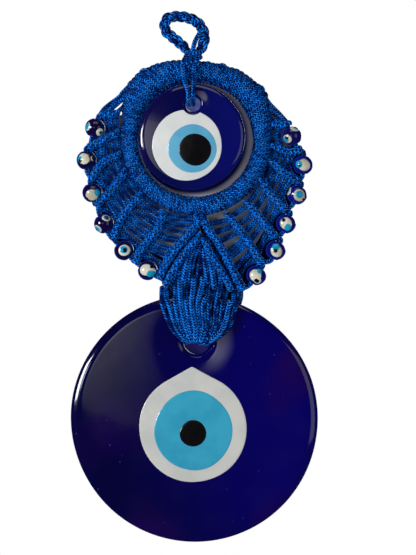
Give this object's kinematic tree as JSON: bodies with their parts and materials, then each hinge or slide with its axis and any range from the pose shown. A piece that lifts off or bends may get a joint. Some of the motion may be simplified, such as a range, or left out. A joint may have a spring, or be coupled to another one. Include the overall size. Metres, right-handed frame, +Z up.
{
  "type": "evil eye ornament",
  "caption": "Wall ornament: knotted hanging loop, cord-wrapped ring with fan of knotted ribs and edge beads, small glass eye disc in the ring and large glass eye disc below.",
  "frame": {"origin": "inside top of the hanging loop, where the nail or hook bears", "axes": "+Z up, -Y towards the viewer (the eyes face -Y), +X to the viewer's right"},
  "size_m": [0.14, 0.0219, 0.3],
  "materials": {
    "cord": "royal blue braided cord with a slight sheen",
    "cobalt_glass": "glossy dark cobalt glass, looks opaque",
    "white_glass": "glossy opaque white glass",
    "light_blue_glass": "glossy opaque light blue glass",
    "black_glass": "glossy black glass",
    "bead_glass": "glossy cobalt lampwork glass with small eyes",
    "ring_steel": "plain, hidden under the wrap"
  },
  "bodies": {
    "hanging_loop_body": {"hanging_loop": "cord", "loop_inner_strand": "cord"},
    "macrame": {"edge_cord_left": "cord", "edge_cord_right": "cord", "gather_bend": "cord", "gather_drops": "cord", "loop_base_cords": "cord", "loop_knot": "cord", "rib_left_1": "cord", "rib_left_2": "cord", "rib_left_3": "cord", "rib_left_4": "cord", "rib_left_5": "cord", "rib_left_6": "cord", "rib_left_7": "cord", "rib_left_8": "cord", "rib_right_1": "cord", "rib_right_2": "cord", "rib_right_3": "cord", "rib_right_4": "cord", "rib_right_5": "cord", "rib_right_6": "cord", "rib_right_7": "cord", "rib_right_8": "cord", "ring_core": "ring_steel", "ring_top_wrap": "cord", "ring_wrap": "cord", "small_disc_strands": "cord", "web_left_lower": "cord", "web_left_middle": "cord", "web_left_upper": "cord", "web_right_lower": "cord", "web_right_middle": "cord", "web_right_upper": "cord"},
    "large_disc": {"large_disc_glass": "cobalt_glass", "large_disc_iris": "light_blue_glass", "large_disc_pupil": "black_glass", "large_disc_white": "white_glass", "gather_front": "cord", "gather_back": "cord", "gather_bundle": "cord"},
    "small_disc": {"small_disc_glass": "cobalt_glass", "small_disc_white": "white_glass", "small_disc_iris": "light_blue_glass", "small_disc_pupil": "black_glass"},
    "bead_left_1_body": {"bead_left_1": "bead_glass"},
    "bead_left_2_body": {"bead_left_2": "bead_glass"},
    "bead_left_3_body": {"bead_left_3": "bead_glass"},
    "bead_left_4_body": {"bead_left_4": "bead_glass"},
    "bead_left_5_body": {"bead_left_5": "bead_glass"},
    "bead_left_6_body": {"bead_left_6": "bead_glass"},
    "bead_right_1_body": {"bead_right_1": "bead_glass"},
    "bead_right_2_body": {"bead_right_2": "bead_glass"},
    "bead_right_3_body": {"bead_right_3": "bead_glass"},
    "bead_right_4_body": {"bead_right_4": "bead_glass"},
    "bead_right_5_body": {"bead_right_5": "bead_glass"},
    "bead_right_6_body": {"bead_right_6": "bead_glass"}
  },
  "joints": [
    {"name": "ornament_swing", "type": "hinge", "parent": "hanging_loop_body", "child": "macrame", "pos_m": [0.0072, -0.0004, -0.0163], "axis": [-1, 0, 0], "range_deg": [-50, 50], "deforming": ["loop_base_cords"]},
    {"name": "small_disc_swing", "type": "hinge", "parent": "macrame", "child": "small_disc", "pos_m": [0.0057, -0.0069, -0.0335], "axis": [-1, 0, 0], "range_deg": [-3, 45], "deforming": ["small_disc_strands"]},
    {"name": "large_disc_swing", "type": "hinge", "parent": "macrame", "child": "large_disc", "pos_m": [0.0083, 0.0003, -0.151], "axis": [-1, 0, 0], "range_deg": [-30, 30], "deforming": ["gather_bend"]},
    {"name": "bead_left_1_spin", "type": "hinge", "parent": "macrame", "child": "bead_left_1_body", "pos_m": [-0.0493, 0, -0.0598], "axis": [-0.3299, 0, -0.944], "continuous": true},
    {"name": "bead_left_2_spin", "type": "hinge", "parent": "macrame", "child": "bead_left_2_body", "pos_m": [-0.0541, 0, -0.078], "axis": [0.0984, 0, -0.9952], "continuous": true},
    {"name": "bead_left_3_spin", "type": "hinge", "parent": "macrame", "child": "bead_left_3_body", "pos_m": [-0.0508, 0, -0.0964], "axis": [0.2162, 0, -0.9763], "continuous": true},
    {"name": "bead_left_4_spin", "type": "hinge", "parent": "macrame", "child": "bead_left_4_body", "pos_m": [-0.0442, 0, -0.114], "axis": [0.4044, 0, -0.9146], "continuous": true},
    {"name": "bead_left_5_spin", "type": "hinge", "parent": "macrame", "child": "bead_left_5_body", "pos_m": [-0.0328, 0, -0.1292], "axis": [0.7154, 0, -0.6987], "continuous": true},
    {"name": "bead_left_6_spin", "type": "hinge", "parent": "macrame", "child": "bead_left_6_body", "pos_m": [-0.0194, 0, -0.1405], "axis": [0.8349, 0, -0.5504], "continuous": true},
    {"name": "bead_right_1_spin", "type": "hinge", "parent": "macrame", "child": "bead_right_1_body", "pos_m": [0.0624, 0, -0.0643], "axis": [0.3992, 0, -0.9169], "continuous": true},
    {"name": "bead_right_2_spin", "type": "hinge", "parent": "macrame", "child": "bead_right_2_body", "pos_m": [0.0687, 0, -0.0806], "axis": [-0.0676, 0, -0.9977], "continuous": true},
    {"name": "bead_right_3_spin", "type": "hinge", "parent": "macrame", "child": "bead_right_3_body", "pos_m": [0.0653, 0, -0.0976], "axis": [-0.4099, 0, -0.9121], "continuous": true},
    {"name": "bead_right_4_spin", "type": "hinge", "parent": "macrame", "child": "bead_right_4_body", "pos_m": [0.059, 0, -0.114], "axis": [-0.4005, 0, -0.9163], "continuous": true},
    {"name": "bead_right_5_spin", "type": "hinge", "parent": "macrame", "child": "bead_right_5_body", "pos_m": [0.0532, 0, -0.1291], "axis": [-0.4496, 0, -0.8932], "continuous": true},
    {"name": "bead_right_6_spin", "type": "hinge", "parent": "macrame", "child": "bead_right_6_body", "pos_m": [0.0422, 0, -0.1433], "axis": [-0.6213, 0, -0.7836], "continuous": true}
  ]
}
